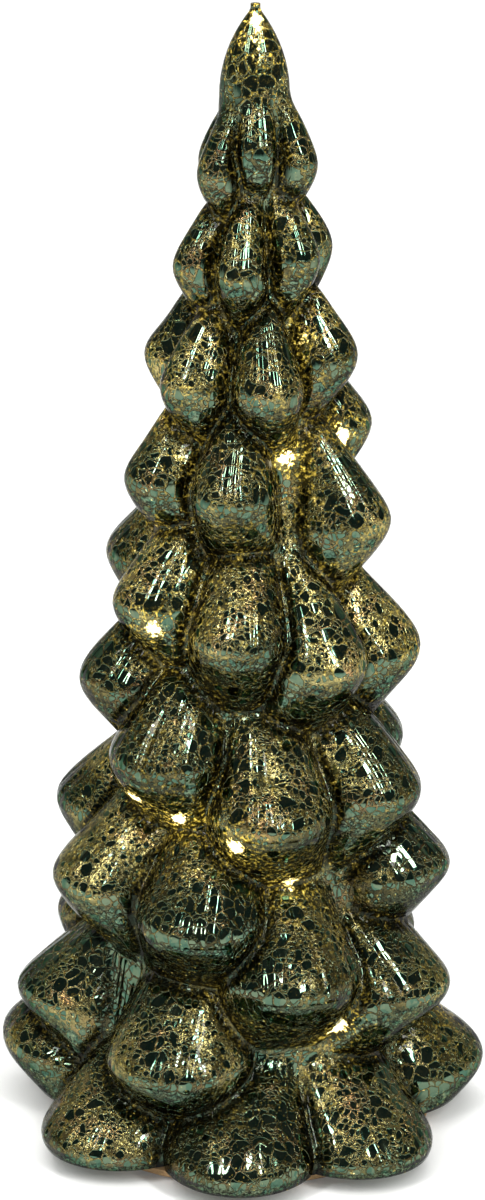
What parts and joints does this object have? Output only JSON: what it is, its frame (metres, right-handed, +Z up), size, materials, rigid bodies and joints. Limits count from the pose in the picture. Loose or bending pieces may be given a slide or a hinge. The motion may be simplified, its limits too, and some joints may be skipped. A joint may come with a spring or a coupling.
{
  "type": "led christmas tree figurine",
  "caption": "Tall lobed mercury-glass Christmas tree lit from inside by micro LEDs, on a base disc with battery case and switch.",
  "frame": {"origin": "centre of the footprint, on the surface that the tree stands on", "axes": "+Z up to the tip, the side seen in the picture faces -Y, +X to the right"},
  "size_m": [0.1326, 0.1316, 0.322],
  "materials": {
    "mercury_glass": "blown glass, crackled gold mirror lining on dark green",
    "fibreboard": "bare tan fibreboard",
    "felt": "felt",
    "clear_adhesive": "cured clear adhesive",
    "black_abs": "fine moulded texture",
    "cell_jacket": "plain printed film jacket",
    "plated_steel": "nickel plate",
    "white_acetal": "moulded",
    "board_green": "solder mask",
    "epoxy": "resin drop",
    "resistor_body": "lacquered",
    "red_lead": "PVC sleeve",
    "black_lead": "PVC sleeve",
    "lacquered_copper": "lacquered copper",
    "led_resin": "clear warm resin"
  },
  "bodies": {
    "tree": {"glass_tree": "mercury_glass", "base_disc": "fibreboard", "glue_ring": "clear_adhesive", "foot_pad_1": "felt", "foot_pad_2": "felt", "foot_pad_3": "felt", "foot_pad_4": "felt", "battery_case": "black_abs", "board_cover": "black_abs", "cell_1": "cell_jacket", "cell_2": "cell_jacket", "cell_3": "cell_jacket", "contact_spring_1": "plated_steel", "contact_spring_2": "plated_steel", "contact_spring_3": "plated_steel", "link_plate_1": "plated_steel", "link_plate_2": "plated_steel", "contact_positive": "plated_steel", "contact_negative": "plated_steel", "switch_frame": "plated_steel", "circuit_board": "board_green", "timer_chip": "epoxy", "crystal": "plated_steel", "resistor": "resistor_body", "lead_positive": "red_lead", "lead_negative": "black_lead", "light_wire": "lacquered_copper", "led_01": "led_resin", "led_02": "led_resin", "led_03": "led_resin", "led_04": "led_resin", "led_05": "led_resin", "led_06": "led_resin", "led_07": "led_resin", "led_08": "led_resin", "led_09": "led_resin", "led_10": "led_resin", "led_11": "led_resin", "led_12": "led_resin", "led_13": "led_resin", "led_14": "led_resin", "led_15": "led_resin", "case_screw_1": "plated_steel", "case_screw_2": "plated_steel", "case_screw_3": "plated_steel", "case_screw_4": "plated_steel"},
    "door": {"battery_door": "black_abs"},
    "knob": {"switch_knob": "white_acetal"}
  },
  "joints": [
    {"name": "door_hinge", "type": "hinge", "parent": "tree", "child": "door", "pos_m": [0, 0.0099, 0.0028], "axis": [1, 0, 0], "range_deg": [0, 90]},
    {"name": "switch_slide", "type": "slide", "parent": "tree", "child": "knob", "axis": [1, 0, 0], "range_m": [-0.002, 0.002]}
  ]
}
